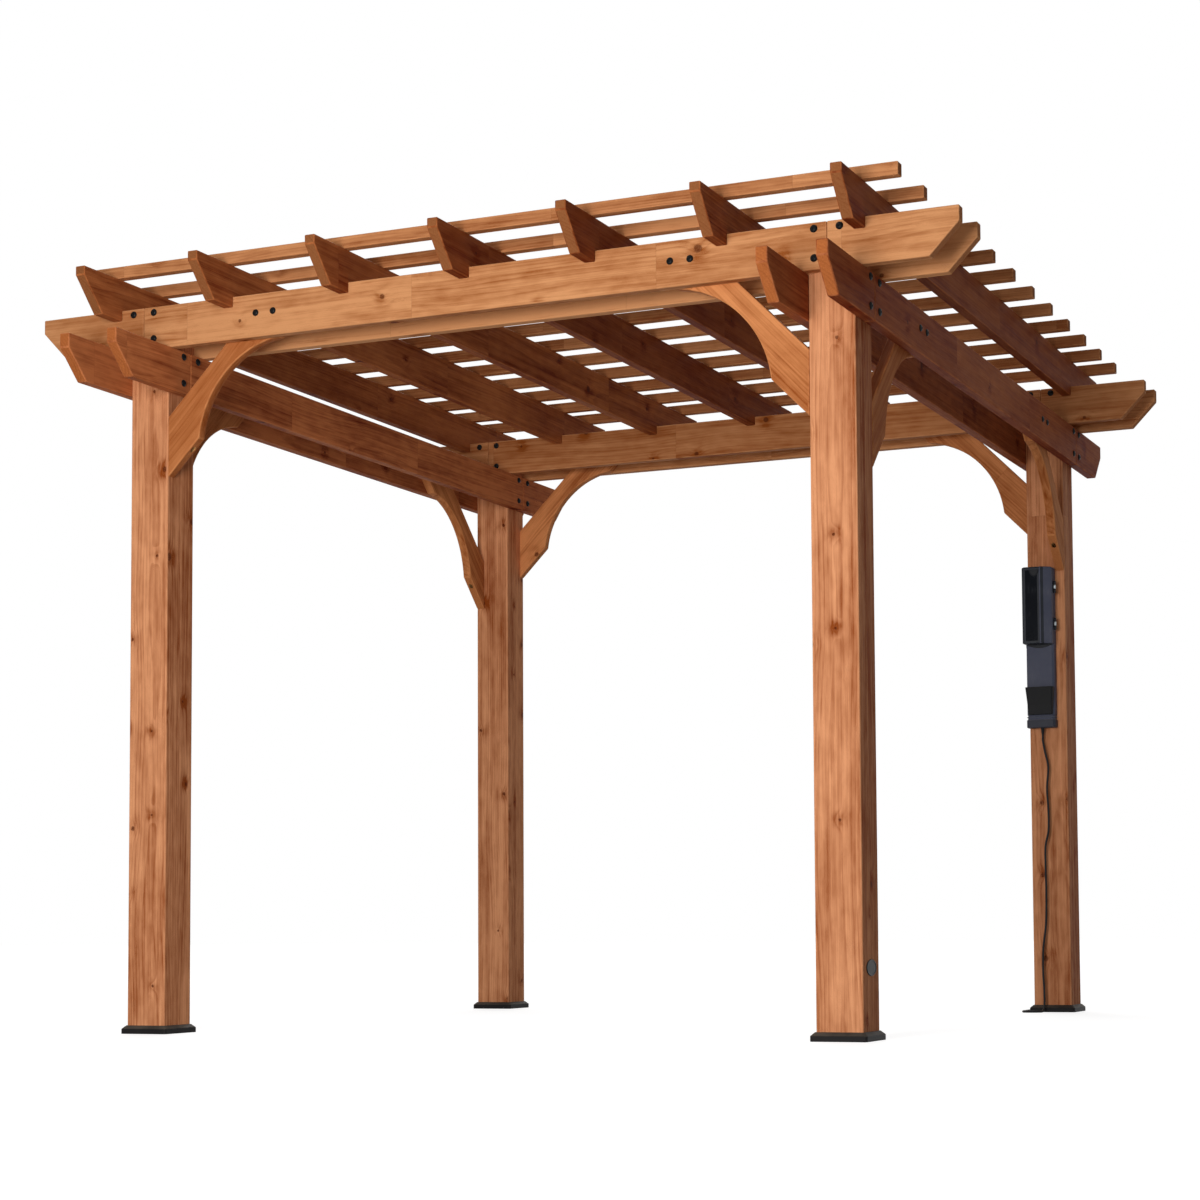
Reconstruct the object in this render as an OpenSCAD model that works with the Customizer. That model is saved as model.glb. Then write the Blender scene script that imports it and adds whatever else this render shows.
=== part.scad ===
// Wooden garden pergola: four square posts, paired beams, curved corner braces,
// notched rafters, top slats and a small outdoor outlet unit on one post.
// X runs left to right, Y front to back, Z up. The origin is on the ground at the centre.

/* [Footprint] */
// Distance between post centres, left to right
post_spacing_x = 2282; // [1800:1:3200]
// Distance between post centres, front to back
post_spacing_y = 2282; // [1800:1:3200]
// Height of the underside of the lower side beams
headroom = 2004; // [1650:1:2500]

/* [Posts] */
// Side of a square post
post_size = 138; // [110:1:170]
// How far a post stops below the top of the beams beside it
post_top_drop = 3; // [0:0.5:10]
// How far a foot cover stands out from its post
foot_lip = 14.5; // [12:0.5:30]
// Height of a foot cover
foot_h = 26; // [18:1:60]
// Chamfer along the top of a foot cover
foot_chamfer = 10; // [4:0.5:11]
// Gap between a foot cover and its post
foot_clear = 0.3; // [0.1:0.1:0.8]

/* [Beams] */
// Height of a beam board
board_h = 134; // [105:1:170]
// Thickness of a beam board
board_t = 35; // [25:1:45]
// How far the beams run past the posts
beam_overhang = 314; // [200:1:420]
// Upright part of a beam end, above its sloping cut
beam_nose = 44; // [30:1:60]
// How far the sloping cut runs back along a beam's underside
beam_cut = 87; // [40:1:130]
// Gap in the butt joint of two boards over a post
joint_gap = 1; // [0.5:0.1:2]

/* [Braces] */
// Thickness of a brace
brace_t = 33; // [25:1:45]
// Width of the board that a brace is cut from
brace_w = 134; // [110:1:165]
// Distance below the beam at which a brace's outer edge meets the post
brace_drop = 212; // [150:1:270]
// Horizontal reach of the straight foot of a brace, before its curve
brace_knee = 115; // [80:1:140]
// Depth of the curve cut into a brace's inner edge
brace_scoop = 72; // [40:1:80]
// How far a brace stops below the top of the boards beside it
brace_top_gap = 16; // [8:1:30]

/* [Rafters] */
// Thickness of a rafter
rafter_t = 34; // [25:1:45]
// Height of a rafter
rafter_h = 131; // [105:1:165]
// How far the rafters run past the front and back beams
rafter_overhang = 193; // [140:1:280]
// Depth of the notch where a rafter sits over a beam pair
rafter_notch = 34; // [20:1:50]
// Play of that notch at each side of the beam pair
notch_clear = 1; // [0.5:0.1:3]
// Upright part of a rafter end, above its sloping cut
rafter_nose = 28; // [18:1:45]
// How far the sloping cut runs back along a rafter's underside
rafter_cut = 92; // [50:1:130]
// Distance from the posts' outer faces to the end rafters
end_rafter_gap = 11; // [6:1:40]

/* [Slats] */
// Number of top slats
slat_count = 12; // [8:1:16]
// Width of a slat
slat_w = 35; // [25:1:50]
// Height of a slat
slat_h = 38; // [25:1:50]
// How far the slats run past the end rafters
slat_overhang = 104; // [60:1:180]
// Distance from the rafters' front ends to the middle of the first slat
slat_front_inset = 186; // [120:1:260]
// Distance from the rafters' back ends to the middle of the last slat
slat_back_inset = 129; // [90:1:260]

/* [Outlet unit] */
// Width of the unit
unit_w = 106; // [85:1:135]
// Height of the unit
unit_h = 584; // [500:1:720]
// Depth of the unit's housing
unit_d = 36; // [28:1:48]
// Distance from the underside of the side beams down to the top of the unit
unit_drop = 390; // [385:1:700]
// Gap between the unit and the brace beside it
unit_gap = 1; // [0.5:0.5:6]
// Height of the weather cover
cover_h = 281; // [240:1:330]
// Depth of the weather cover in front of the housing
cover_d = 42; // [32:1:60]
// Wall of the weather cover
cover_wall = 2.6; // [2:0.1:4]
// Gap between the weather cover and the housing
cover_gap = 1.5; // [1:0.1:3]
// Width of the two notches for leads in the cover's lower wall
lead_slot_w = 26; // [18:1:32]
// Width of the socket plate under the cover
socket_w = 70; // [56:1:80]
// Height of one socket face
socket_h = 66; // [54:1:72]
// How far a socket face stands out of the housing
socket_d = 5; // [3:0.5:8]
// Height of the tray above the unit's lower end
tray_z = 47; // [42:1:70]
// Height of the tray's front wall
tray_h = 100; // [70:1:120]
// How far the tray's front stands out at its top
tray_top_out = 26; // [20:1:40]
// How far the tray's front stands out at its foot
tray_foot_out = 10; // [8:1:18]
// Wall of the tray
tray_wall = 3; // [2:0.1:5]
// Radius of a hinge knuckle
knuckle_r = 5; // [4:0.5:8]
// Height of a hinge, with all its knuckles
hinge_h = 44; // [32:1:60]
// Radius of a hinge pin
pin_r = 1.8; // [1.2:0.1:2.4]
// Gap around a hinge pin and between knuckles
hinge_clear = 0.4; // [0.2:0.1:0.8]

/* [Fittings] */
// Width of the plain oval plate on the front right post
plate_w = 80; // [50:1:100]
// Height of the oval plate
plate_h = 46; // [30:1:70]
// Thickness of the oval plate
plate_t = 3; // [2:0.5:6]
// Height of the middle of the oval plate
plate_z = 201; // [120:1:600]
// Diameter of the power cord
cord_d = 8; // [6:0.5:9]
// Length of the tapered strain relief under the unit
gland_h = 24; // [20:1:40]

/* [Hidden] */
$fn = 48;
// Each rafter is a node, so their number is fixed
rafter_count = 7;
px = post_spacing_x / 2;
py = post_spacing_y / 2;
half = post_size / 2;
side_top = headroom + board_h;
beam_top = side_top + board_h;
rafter_low = beam_top - rafter_notch;
rafter_top = rafter_low + rafter_h;
beam_end_x = px + half + beam_overhang;
beam_end_y = py + half + beam_overhang;
rafter_end = py + half + board_t + rafter_overhang;
end_rafter_x = px + half + end_rafter_gap + rafter_t / 2;
slat_end = end_rafter_x + rafter_t / 2 + slat_overhang;
slat_first = -rafter_end + slat_front_inset;
slat_step = (2 * rafter_end - slat_front_inset - slat_back_inset) / (slat_count - 1);
slat_third = floor(slat_count / 3);
brace_up = board_h - brace_top_gap;
brace_tip = brace_drop + brace_w * sqrt(2);
ux = px + half - brace_t - unit_gap - unit_w / 2;
uy = py - half;
face_y = uy - unit_d;
unit_top = headroom - unit_drop;
unit_z = unit_top - unit_h;
cover_low = unit_top - cover_h;
hinge_x = ux + unit_w / 2 + knuckle_r + 0.8;
hinge_y = face_y;
hinge_zs = [cover_low + 0.26 * cover_h, cover_low + 0.74 * cover_h];
gland_r = cord_d / 2 + 2.5;
gland_x = ux + 2;
gland_y = uy - 20;
knuckle_h = (hinge_h - 2 * hinge_clear) / 3;

// A profile drawn in (x, z), given depth t from y0 towards the back
module along_x(y0, t) { translate([0, y0 + t, 0]) rotate([90, 0, 0]) linear_extrude(t) children(); }
// A profile drawn in (y, z), given depth t from x0 towards the right
module along_y(x0, t) { translate([x0, 0, 0]) rotate([90, 0, 90]) linear_extrude(t) children(); }

// One line of beam boards: an end stub, the long board and the other end stub
module beam_line(post_at, end_at, low) {
  gap = joint_gap / 2;
  for (s = [-1, 1]) polygon([[s * (post_at + gap), low], [s * (post_at + gap), low + board_h],
    [s * end_at, low + board_h], [s * end_at, low + board_h - beam_nose], [s * (end_at - beam_cut), low]]);
  polygon([[-post_at + gap, low], [post_at - gap, low], [post_at - gap, low + board_h],
    [-post_at + gap, low + board_h]]);
}

// Points of the curved inner edge, from the lower knee to the upper one
function scoop() = let (
    a = [brace_knee, brace_knee - brace_tip],
    b = [brace_up + brace_tip - brace_knee, brace_up - brace_knee],
    m = (a + b) / 2, c = norm(b - a) / 2, u = (b - a) / (2 * c), n = [u[1], -u[0]],
    r = (c * c + brace_scoop * brace_scoop) / (2 * brace_scoop),
    o = m + n * (r - brace_scoop), w = asin(c / r))
  [for (i = [0:16]) let (q = -w + 2 * w * i / 16) o - n * r * cos(q) + u * r * sin(q)];

// Outline of a brace: distance from the post's face, height over the beam's underside
module brace_outline() {
  polygon(concat([[0, -brace_drop], [0, -brace_tip]], scoop(),
    [[brace_up + brace_tip, brace_up], [brace_up + brace_drop, brace_up]]));
}

module post(sx, sy) {
  color("peru") translate([sx * px - half, sy * py - half, 0])
    cube([post_size, post_size, beam_top - post_top_drop]);
}

// A moulded cover around the foot of a post
module foot(sx, sy) {
  w = half + foot_lip;
  hole = post_size + 2 * foot_clear;
  color([0.1, 0.1, 0.1]) translate([sx * px, sy * py, 0]) difference() {
    intersection() {
      along_x(-w, 2 * w) polygon([[-w, 0], [w, 0], [w, foot_h - foot_chamfer], [w - foot_chamfer, foot_h],
        [-w + foot_chamfer, foot_h], [-w, foot_h - foot_chamfer]]);
      along_y(-w, 2 * w) polygon([[-w, 0], [w, 0], [w, foot_h - foot_chamfer], [w - foot_chamfer, foot_h],
        [-w + foot_chamfer, foot_h], [-w, foot_h - foot_chamfer]]);
    }
    translate([-hole / 2, -hole / 2, -1]) cube([hole, hole, foot_h + 2]);
  }
}

// Side beam: s is the side, out is 1 for the outer board and 0 for the inner one
module side_beam(s, out) {
  x0 = s * px + ((out ? s : -s) > 0 ? half : -half - board_t);
  color("sienna") along_y(x0, board_t) beam_line(py, beam_end_y, headroom);
}

// Top beam: s is the end, out is 1 for the outer board and 0 for the inner one
module top_beam(s, out) {
  y0 = s * py + ((out ? s : -s) > 0 ? half : -half - board_t);
  color("peru") along_x(y0, board_t) beam_line(px, beam_end_x, side_top);
}

// Brace from a post towards the middle, in the plane of its front or back face
module brace_x(sx, sy) {
  color("peru") translate([sx * (px - half), 0, side_top]) mirror([sx > 0 ? 1 : 0, 0, 0])
    along_x(sy > 0 ? py + half - brace_t : -py - half, brace_t) brace_outline();
}

// Brace from a post towards the middle, in the plane of its outer side face
module brace_y(sx, sy) {
  color("sienna") translate([0, sy * (py - half), headroom]) mirror([0, sy > 0 ? 1 : 0, 0])
    along_y(sx > 0 ? px + half - brace_t : -px - half, brace_t) brace_outline();
}

module rafter(i) {
  x = -end_rafter_x + 2 * end_rafter_x * (i - 1) / (rafter_count - 1);
  n0 = py - half - board_t - notch_clear;
  n1 = py + half + board_t + notch_clear;
  color("saddlebrown") along_y(x - rafter_t / 2, rafter_t) polygon([
    [-rafter_end, rafter_top], [-rafter_end, rafter_top - rafter_nose], [-rafter_end + rafter_cut, rafter_low],
    [-n1, rafter_low], [-n1, beam_top], [-n0, beam_top], [-n0, rafter_low],
    [n0, rafter_low], [n0, beam_top], [n1, beam_top], [n1, rafter_low],
    [rafter_end - rafter_cut, rafter_low], [rafter_end, rafter_top - rafter_nose], [rafter_end, rafter_top]]);
}

module slats(from, to) {
  color("peru") for (i = [from:to])
    translate([-slat_end, slat_first + i * slat_step - slat_w / 2, rafter_top]) cube([2 * slat_end, slat_w, slat_h]);
}

// Housing of the outlet unit, with its fixed hinge knuckles and pins
module outlet_housing() {
  color([0.2, 0.22, 0.25]) {
    difference() {
      translate([ux - unit_w / 2, face_y, unit_z]) cube([unit_w, unit_d, unit_h]);
      translate([ux - unit_w / 2 - 1, face_y - 1, unit_z + tray_z - 8]) cube([unit_w + 2, 4, 4]);
    }
    for (z = hinge_zs) {
      for (e = [-1, 1]) {
        zc = z + e * (knuckle_h + hinge_clear);
        translate([hinge_x, hinge_y, zc - knuckle_h / 2]) cylinder(r = knuckle_r, h = knuckle_h);
        translate([ux + unit_w / 2 - 1, hinge_y + 0.5, zc - knuckle_h / 2])
          cube([hinge_x - ux - unit_w / 2 + 1, knuckle_r - 0.5, knuckle_h]);
      }
      translate([hinge_x, hinge_y, z - hinge_h / 2]) cylinder(r = pin_r, h = hinge_h);
    }
  }
}

// Two socket faces under the weather cover
module outlet_sockets() {
  zc = (cover_low + unit_top) / 2;
  color([0.12, 0.12, 0.13]) for (e = [-1, 1])
    translate([ux - socket_w / 2, face_y - socket_d, zc + e * (socket_h / 2 + 6) - socket_h / 2])
      cube([socket_w, socket_d, socket_h]);
}

// Hinged weather cover, a shell that is open towards the housing
module outlet_cover() {
  y1 = face_y - cover_gap;
  color([0.15, 0.16, 0.18, 0.9]) difference() {
    union() {
      translate([ux - unit_w / 2, y1 - cover_d, cover_low]) cube([unit_w, cover_d, cover_h]);
      for (z = hinge_zs) {
        translate([hinge_x, hinge_y, z - knuckle_h / 2]) cylinder(r = knuckle_r, h = knuckle_h);
        translate([ux + unit_w / 2 - 1, hinge_y - knuckle_r, z - knuckle_h / 2])
          cube([hinge_x - ux - unit_w / 2 + 1, knuckle_r - 0.5, knuckle_h]);
      }
    }
    translate([ux - unit_w / 2 + cover_wall, y1 - cover_d + cover_wall, cover_low + cover_wall])
      cube([unit_w - 2 * cover_wall, cover_d, cover_h - 2 * cover_wall]);
    for (e = [-1, 1]) translate([ux + e * unit_w / 5 - lead_slot_w / 2, y1 - cover_d / 2, cover_low - 1])
      cube([lead_slot_w, cover_d, cover_wall + 2]);
    for (z = hinge_zs) translate([hinge_x, hinge_y, z - knuckle_h])
      cylinder(r = pin_r + hinge_clear, h = 2 * knuckle_h);
  }
}

// Open-topped tray whose front leans outwards
module phone_tray() {
  z0 = unit_z + tray_z;
  x0 = ux - unit_w / 2 + 1;
  w = unit_w - 2;
  color([0.05, 0.05, 0.05]) difference() {
    along_y(x0, w) polygon([[face_y, z0], [face_y - tray_foot_out, z0], [face_y - tray_top_out, z0 + tray_h],
      [face_y, z0 + tray_h]]);
    along_y(x0 + tray_wall, w - 2 * tray_wall) polygon([[face_y + 1, z0 + tray_wall],
      [face_y - tray_foot_out + tray_wall, z0 + tray_wall],
      [face_y - tray_top_out + tray_wall, z0 + tray_h + 1], [face_y + 1, z0 + tray_h + 1]]);
  }
}

module oval_plate() {
  color([0.08, 0.08, 0.08]) along_y(px + half, plate_t)
    polygon([for (i = [0:47]) [-py + plate_w / 2 * cos(7.5 * i), plate_z + plate_h / 2 * sin(7.5 * i)]]);
}

module cord_gland() {
  color([0.06, 0.06, 0.06]) translate([gland_x, gland_y, unit_z - gland_h])
    cylinder(r1 = cord_d / 2 + 0.8, r2 = gland_r, h = gland_h);
}

// Way of the cord: down the post's face, then along the ground and round the foot to its coil
cord_way = [[1125, 1052, 1006], [1125, 1052, 994], [1125, 1052, 982], [1133, 1051, 940], [1144, 1050, 885],
  [1138, 1050, 810], [1142, 1050, 730], [1141, 1050, 655], [1129, 1050, 600], [1128, 1050, 520],
  [1129, 1050, 430], [1126, 1050, 320], [1115, 1049, 230], [1113, 1048, 150], [1116, 1047, 95],
  [1117, 1046, 60], [1117, 1046, 40], [1117, 1041, 22], [1117, 1028, 9], [1117, 1011, 4.5],
  [1107, 986, 4.5], [1082, 976, 4.5], [1057, 986, 4.5], [1047, 1011, 4.5], [1046, 1050, 4.5],
  [1046, 1100, 4.5], [1046, 1150, 4.5], [1046, 1200, 4.5], [1046, 1225, 4.5], [1046, 1248, 4.5]];
// Way from the coil's upper layer to the plug
tail_way = [[1046, 1308, 12.5], [1046, 1316, 12.5], [1046, 1324, 12], [1050, 1346, 9], [1063, 1361, 8.5],
  [1082, 1366, 10.5], [1096, 1366, 11], [1104, 1366, 11]];
coil_at = [1091.5, 1278];
coil_r = 50;
coil_stub = 30;

// Smooth curve through the points p, with k steps between each two
function pick(p, i) = p[min(max(i, 0), len(p) - 1)];
function bend(p, k) = concat([for (i = [0:len(p) - 2], j = [0:k - 1])
  let (t = j / k, a = pick(p, i - 1), b = p[i], c = p[i + 1], d = pick(p, i + 2))
  b + (c - a) * t / 2 + (a - 2.5 * b + 2 * c - d / 2) * t * t + (-a / 2 + 1.5 * b - 1.5 * c + d / 2) * t * t * t],
  [p[len(p) - 1]]);
function unit(v) = v / norm(v);
function heading(p, i) = unit(pick(p, i + 1) - pick(p, i - 1));
// Normals that turn as little as they can from ring to ring
function normals(p, i, n) = i >= len(p) ? [] :
  let (t = heading(p, i), m = unit(n - t * (n * t))) concat([m], normals(p, i + 1, m));

// Round tube of radius r swept along the points p
module tube(p, r, sides, n0) {
  ns = normals(p, 0, n0);
  pts = [for (i = [0:len(p) - 1], s = [0:sides - 1]) let (t = heading(p, i), n = ns[i], b = cross(t, n))
    p[i] + r * (cos(360 * s / sides) * n + sin(360 * s / sides) * b)];
  m = len(p) - 1;
  polyhedron(pts, concat([[for (s = [0:sides - 1]) s]],
    [for (i = [0:m - 1], s = [0:sides - 1]) let (q = (s + 1) % sides)
      [i * sides + q, i * sides + s, (i + 1) * sides + s, (i + 1) * sides + q]],
    [[for (s = [sides - 1:-1:0]) m * sides + s]]), convexity = 6);
}

module cord() { color([0.07, 0.07, 0.07]) tube(bend(cord_way, 3), cord_d / 2, 8, [1, 0, 0]); }

module cord_tail() { color([0.07, 0.07, 0.07]) tube(bend(tail_way, 2), cord_d / 2, 8, [1, 0, 0]); }

// Outer shape of the cord's coil, two turns wide and two high, with a straight end for each stretch of cord
module cord_coil() {
  w = cord_d + 1;
  color([0.07, 0.07, 0.07]) translate(concat(coil_at, [0])) {
    rotate_extrude() translate([coil_r - 2 * w, 0]) square([2 * w, 2 * w - 1]);
    for (e = [0, 1]) translate([-coil_r, e ? 0 : -coil_stub, e * (w - 1)]) cube([w, coil_stub, w]);
  }
}

// Moulded plug that lies on the ground
module plug() {
  color([0.05, 0.05, 0.05]) translate(tail_way[len(tail_way) - 1]) {
    rotate([0, 90, 0]) cylinder(r1 = cord_d / 2 + 1, r2 = 8, h = 20);
    translate([20, -11, -11]) cube([26, 22, 22]);
    for (y = [-6.3, 6.3]) translate([46, y - 0.8, -3.2]) cube([16, 1.6, 6.4]);
  }
}

post(-1, -1);  // post_front_left
post(1, -1);  // post_front_right
post(-1, 1);  // post_back_left
post(1, 1);  // post_back_right
foot(-1, -1);  // foot_front_left
foot(1, -1);  // foot_front_right
foot(-1, 1);  // foot_back_left
foot(1, 1);  // foot_back_right
side_beam(-1, true);  // side_beam_left_outer
side_beam(-1, false);  // side_beam_left_inner
side_beam(1, false);  // side_beam_right_inner
side_beam(1, true);  // side_beam_right_outer
top_beam(-1, true);  // top_beam_front_outer
top_beam(-1, false);  // top_beam_front_inner
top_beam(1, false);  // top_beam_back_inner
top_beam(1, true);  // top_beam_back_outer
brace_x(-1, -1);  // brace_front_left_x
brace_y(-1, -1);  // brace_front_left_y
brace_x(1, -1);  // brace_front_right_x
brace_y(1, -1);  // brace_front_right_y
brace_x(-1, 1);  // brace_back_left_x
brace_y(-1, 1);  // brace_back_left_y
brace_x(1, 1);  // brace_back_right_x
brace_y(1, 1);  // brace_back_right_y
rafter(1);  // rafter_1
rafter(2);  // rafter_2
rafter(3);  // rafter_3
rafter(4);  // rafter_4
rafter(5);  // rafter_5
rafter(6);  // rafter_6
rafter(7);  // rafter_7
slats(0, slat_third - 1);  // slats_front
slats(slat_third, 2 * slat_third - 1);  // slats_middle
slats(2 * slat_third, slat_count - 1);  // slats_back
outlet_housing();
outlet_sockets();
outlet_cover();
phone_tray();
oval_plate();
cord_gland();
cord();
cord_coil();
cord_tail();
plug();
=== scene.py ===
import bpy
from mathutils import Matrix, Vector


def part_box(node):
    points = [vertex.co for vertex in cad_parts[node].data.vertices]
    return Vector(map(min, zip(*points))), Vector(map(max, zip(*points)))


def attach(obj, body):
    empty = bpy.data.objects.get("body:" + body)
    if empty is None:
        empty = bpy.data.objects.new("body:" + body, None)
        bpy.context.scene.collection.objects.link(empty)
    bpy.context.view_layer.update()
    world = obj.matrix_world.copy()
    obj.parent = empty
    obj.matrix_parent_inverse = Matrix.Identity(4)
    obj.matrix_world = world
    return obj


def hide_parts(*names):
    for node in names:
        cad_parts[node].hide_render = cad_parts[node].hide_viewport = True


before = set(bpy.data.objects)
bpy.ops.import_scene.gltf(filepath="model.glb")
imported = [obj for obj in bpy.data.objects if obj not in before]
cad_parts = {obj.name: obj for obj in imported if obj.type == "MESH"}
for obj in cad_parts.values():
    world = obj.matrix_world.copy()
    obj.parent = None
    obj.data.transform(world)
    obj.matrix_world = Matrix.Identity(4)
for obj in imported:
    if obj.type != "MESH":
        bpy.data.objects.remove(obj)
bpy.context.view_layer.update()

import math
import random
from functools import partial

import bmesh
import bpy
from mathutils import Matrix, Vector

# ---------------- Camera
# A long lens at knee height, in front of the right-hand posts and turned a little to the left.
def show(made):
    """Puts an object in the scene."""
    bpy.context.scene.collection.objects.link(made)
    return made


camera_at = (3.3574, -7.3812, 0.3138)
left_turn, tilt, roll, upright = (math.radians(angle) for angle in (22.46, 3.59, 0.46, 90))
lens = bpy.data.cameras.new("camera")
lens.sensor_width = 36
lens.lens = 71.56
lens.shift_x = -0.1037
lens.shift_y = 0.1484
lens.clip_end = 100
camera = show(bpy.data.objects.new("camera", lens))
turned = Matrix.Rotation(left_turn, 4, "Z") @ Matrix.Rotation(tilt, 4, "X") @ Matrix.Rotation(roll, 4, "Y")
camera.matrix_world = Matrix.Translation(camera_at) @ turned @ Matrix.Rotation(upright, 4, "X")
bpy.context.scene.camera = camera
bpy.context.scene.view_settings.view_transform = "Standard"

# ---------------- Ground and light
# A level pale floor keeps the pergola's soft shadow, and a white sky and two lamps light it: a large soft one
# stands in front of it and a little to the right, and a weaker broad one comes from behind on the left.
def feed(tree, node, inputs):
    """Gives a node's inputs their values, or joins them to other nodes' outputs."""
    for name, value in inputs.items():
        if isinstance(value, bpy.types.NodeSocket):
            tree.links.new(value, node.inputs[name])
        else:
            node.inputs[name].default_value = value


def put(tree, kind, inputs=None, **settings):
    """Adds a shader node with its settings and inputs."""
    made = tree.nodes.new("ShaderNode" + kind)
    for name, value in settings.items():
        setattr(made, name, value)
    feed(tree, made, inputs or {})
    return made


def calc(tree, operation, a, b=0.0, c=0.0, clamp=False):
    """The output of a Math node."""
    return put(tree, "Math", {0: a, 1: b, 2: c}, operation=operation, use_clamp=clamp).outputs[0]


def fade(tree, value, start, end, low=0.0, high=1.0):
    """Goes smoothly from low, where value is start, to high, where it is end."""
    return put(tree, "MapRange", {0: value, 1: start, 2: end, 3: low, 4: high},
               interpolation_type="SMOOTHSTEP").outputs[0]


def new_material(name):
    """A material with its tree and its Principled shader."""
    made = bpy.data.materials.new(name)
    made.use_nodes = True
    return made, made.node_tree, made.node_tree.nodes["Principled BSDF"]


def seen(tree):
    """1 for what the camera sees, directly, mirrored or through glass, and 0 for light on the pergola."""
    ray = put(tree, "LightPath").outputs
    direct = calc(tree, "MAXIMUM", ray["Is Camera Ray"], ray["Is Glossy Ray"])
    return calc(tree, "MAXIMUM", direct, ray["Is Transmission Ray"])


def add_lamp(name, kind, aim, **settings):
    """A lamp that shines along aim."""
    data = bpy.data.lights.new(name, kind)
    for setting, value in settings.items():
        setattr(data, setting, value)
    made = show(bpy.data.objects.new(name, data))
    made.rotation_mode = "QUATERNION"
    made.rotation_quaternion = Vector(aim).to_track_quat("-Z", "Y")
    return made


sky_light = 0.2
world = bpy.data.worlds.new("white sky")
bpy.context.scene.world = world
world.use_nodes = True
tree = world.node_tree
feed(tree, tree.nodes["Background"], {
    "Color": (1, 1, 1, 1), "Strength": calc(tree, "MULTIPLY_ADD", seen(tree), 1 - sky_light, sky_light)})
front_lamp = add_lamp("front lamp", "AREA", (-0.8, 6.2, -0.2), shape="DISK", size=2.2, energy=240,
                      specular_factor=0.02)
front_lamp.location = (0.8, -6.2, 1.4)
front_lamp.visible_camera = False
add_lamp("back lamp", "SUN", (0.35, -0.75, -0.6), energy=1.6, angle=math.radians(40))

ground_reach = 40
ground_mesh = bpy.data.meshes.new("ground")
corners = [(x * ground_reach, y * ground_reach, 0) for x, y in ((-1, -1), (1, -1), (1, 1), (-1, 1))]
ground_mesh.from_pydata(corners, [], [(0, 1, 2, 3)])
show(bpy.data.objects.new("ground", ground_mesh))
ground_paint, tree, shader = new_material("pale floor")
tree.nodes.remove(shader)
from_middle = put(tree, "VectorMath", {0: put(tree, "TexCoord").outputs["Object"]},
                  operation="LENGTH").outputs["Value"]
glow = put(tree, "Emission", {"Color": (1, 1, 1, 1), "Strength": calc(
    tree, "MULTIPLY", seen(tree), fade(tree, from_middle, 2.0, 9.0, 0.80, 0.90))})
matt = put(tree, "BsdfDiffuse", {"Color": (0.42, 0.42, 0.42, 1)})
both = put(tree, "AddShader", {0: matt.outputs[0], 1: glow.outputs[0]})
feed(tree, tree.nodes["Material Output"], {"Surface": both.outputs[0]})
ground_mesh.materials.append(ground_paint)

# ---------------- Power cord
# A round black rubber lead, 8 mm thick and about 2.6 m long. It leaves the outlet unit through a tapered
# strain relief, hangs down the post's front, goes round the foot and ends behind the post in a tied coil.
X, Y, Z = Vector((1, 0, 0)), Vector((0, 1, 0)), Vector((0, 0, 1))


def mix_colours(tree, share, a, b, how="MIX"):
    """The colour a share of the way from a to b, or the two put together in another way."""
    return put(tree, "Mix", {0: share, 6: a, 7: b}, data_type="RGBA", blend_type=how).outputs[2]


def rgb(red, green, blue):
    """A colour as it shows, from 0 to 255, in the linear values that shaders take."""
    return tuple((v / 255 / 12.92) if v < 11 else ((v / 255 + 0.055) / 1.055) ** 2.4
                 for v in (red, green, blue)) + (1.0,)


def new_piece(name, shape, materials, body="frame"):
    """A shown piece in the model's own frame, which moves with a body. Its shape is a curve or a bmesh."""
    if isinstance(shape, bmesh.types.BMesh):
        shape = to_mesh(shape, name)
    for material in materials:
        shape.materials.append(material)
    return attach(show(bpy.data.objects.new(name, shape)), body)


def new_group(name, takes):
    """A node group for a finish, with the outputs of its group input and its group output node."""
    group = bpy.data.node_groups.new(name, "ShaderNodeTree")
    gives = {"Color": "Color", "Roughness": "Float", "Height": "Float"}
    for way, sockets in (("INPUT", takes), ("OUTPUT", gives)):
        for socket, kind in sockets.items():
            group.interface.new_socket(socket, in_out=way, socket_type="NodeSocket" + kind)
    return group, group.nodes.new("NodeGroupInput").outputs, group.nodes.new("NodeGroupOutput")


def finish_surface(tree, shader, group, values, height, specular):
    """Joins the colour, roughness and height that a group gives to a material's shader."""
    outputs = put(tree, "Group", values, node_tree=group).outputs
    bump = put(tree, "Bump", {"Height": outputs["Height"], "Strength": 1.0, "Distance": height})
    feed(tree, shader, {"Base Color": outputs["Color"], "Roughness": outputs["Roughness"],
                        "Normal": bump.outputs[0], "Specular IOR Level": specular})


# Moulded rubber and plastic: a fine leather grain, faint flow marks, dull scuffs and a little dust on top.
moulded, given, out = new_group("moulded surface", {
    "Color": "Color", "Scuffed Color": "Color", "Grain Size": "Float", "Roughness": "Float", "Dust": "Float"})
place = put(moulded, "TexCoord").outputs["Object"]
pebbles = calc(moulded, "DIVIDE", 1.0, given["Grain Size"])
pebble = put(moulded, "TexVoronoi", {"Vector": place, "Scale": pebbles},
             feature="SMOOTH_F1").outputs["Distance"]
cloud = put(moulded, "TexNoise", {"Vector": place, "Scale": 14.0, "Detail": 4.0}).outputs["Fac"]
drawn = put(moulded, "VectorMath", {0: place, 1: (220, 220, 35)}, operation="MULTIPLY").outputs[0]
scratch = put(moulded, "TexNoise", {"Vector": drawn, "Scale": 1.0, "Detail": 3.0}).outputs["Fac"]
scuff = calc(moulded, "MULTIPLY", fade(moulded, cloud, 0.5, 0.72), fade(moulded, scratch, 0.5, 0.66))
upward = put(moulded, "SeparateXYZ", {0: put(moulded, "NewGeometry").outputs["Normal"]}).outputs["Z"]
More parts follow.
